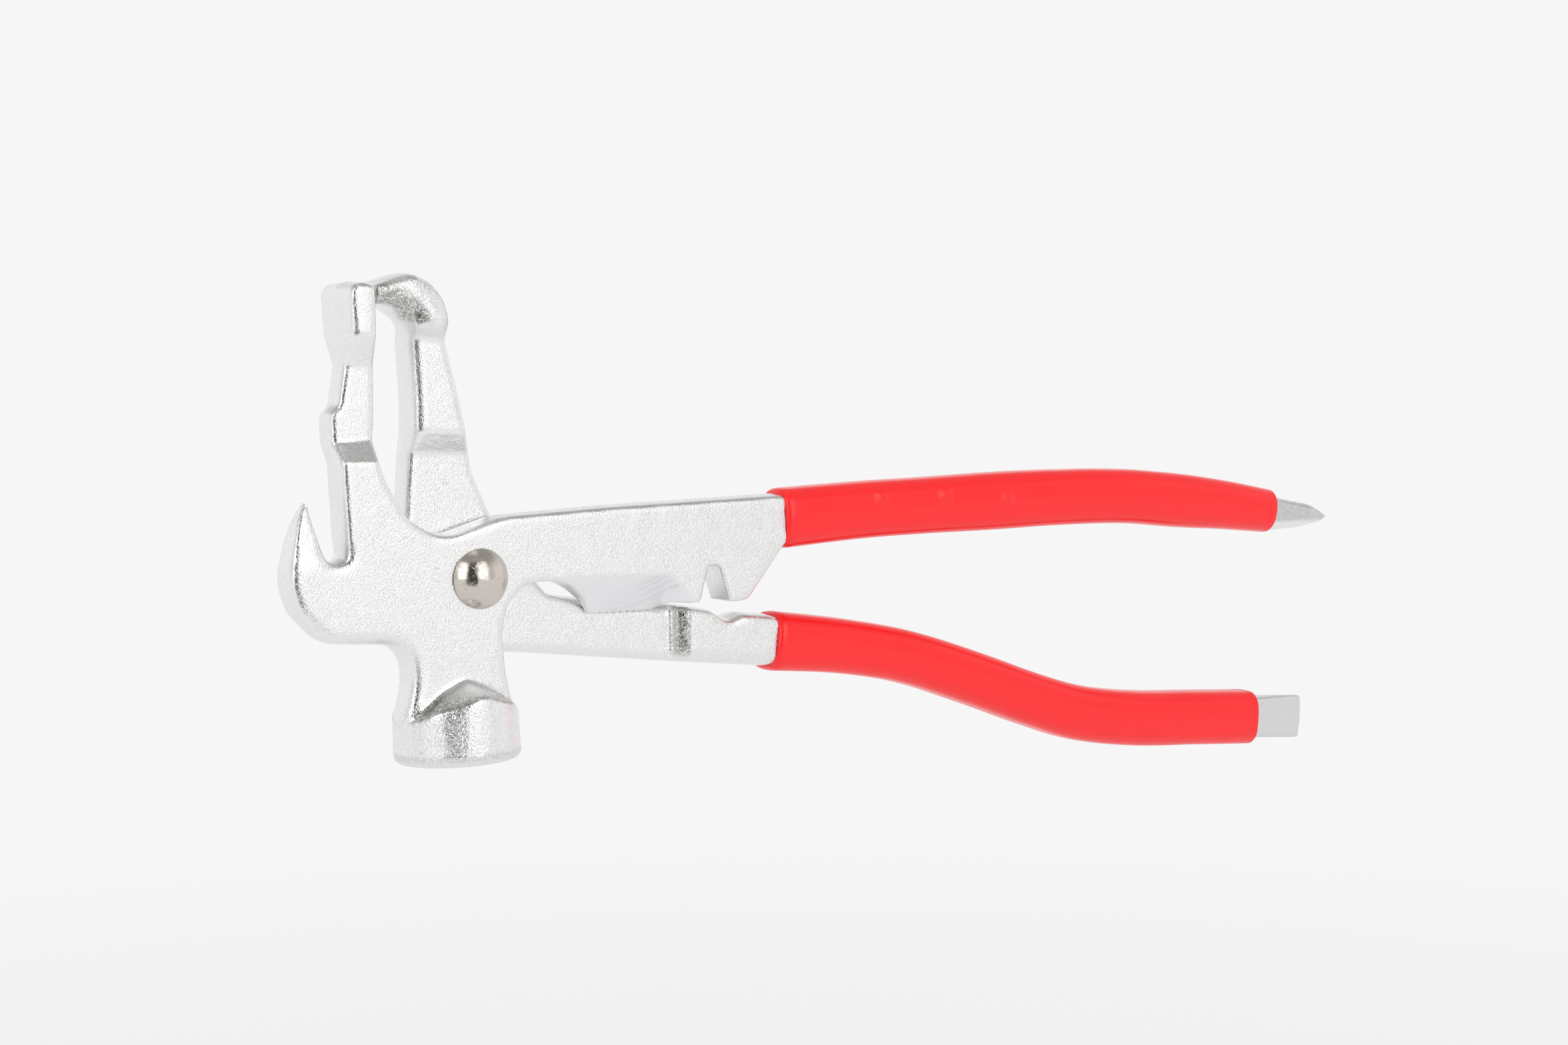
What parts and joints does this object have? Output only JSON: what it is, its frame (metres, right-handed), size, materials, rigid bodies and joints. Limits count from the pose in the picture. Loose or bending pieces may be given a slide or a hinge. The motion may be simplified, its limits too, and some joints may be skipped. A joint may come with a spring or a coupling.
{
  "type": "wheel weight pliers",
  "caption": "Forged wheel weight pliers with a hammer head, weight-pulling claw, hooked gripping jaws, toothed cutter, riveted pivot and dipped red grips ending in an awl and a screwdriver",
  "frame": {"origin": "centre of the hammer's striking face", "axes": "+X along the handles towards the awl and the screwdriver, +Z from the hammer face up towards the jaws, +Y from the hammer lever through the rivet to the hook lever"},
  "size_m": [0.2693, 0.0264, 0.108],
  "materials": {
    "plated_steel": "satin plating over forged, orange-peel texture",
    "rivet_nickel": "polished nickel plating",
    "dipped_vinyl": "glossy dipped vinyl"
  },
  "bodies": {
    "hammer_half": {"hammer_lever": "plated_steel", "hammer_lever_grip": "dipped_vinyl", "pivot_rivet": "rivet_nickel"},
    "hook_half": {"hook_lever": "plated_steel", "hook_lever_grip": "dipped_vinyl"}
  },
  "joints": [
    {"name": "pivot", "type": "hinge", "parent": "hammer_half", "child": "hook_half", "pos_m": [0.003, 0.0077, 0.036], "axis": [0, 1, 0], "range_deg": [0, 30]}
  ]
}
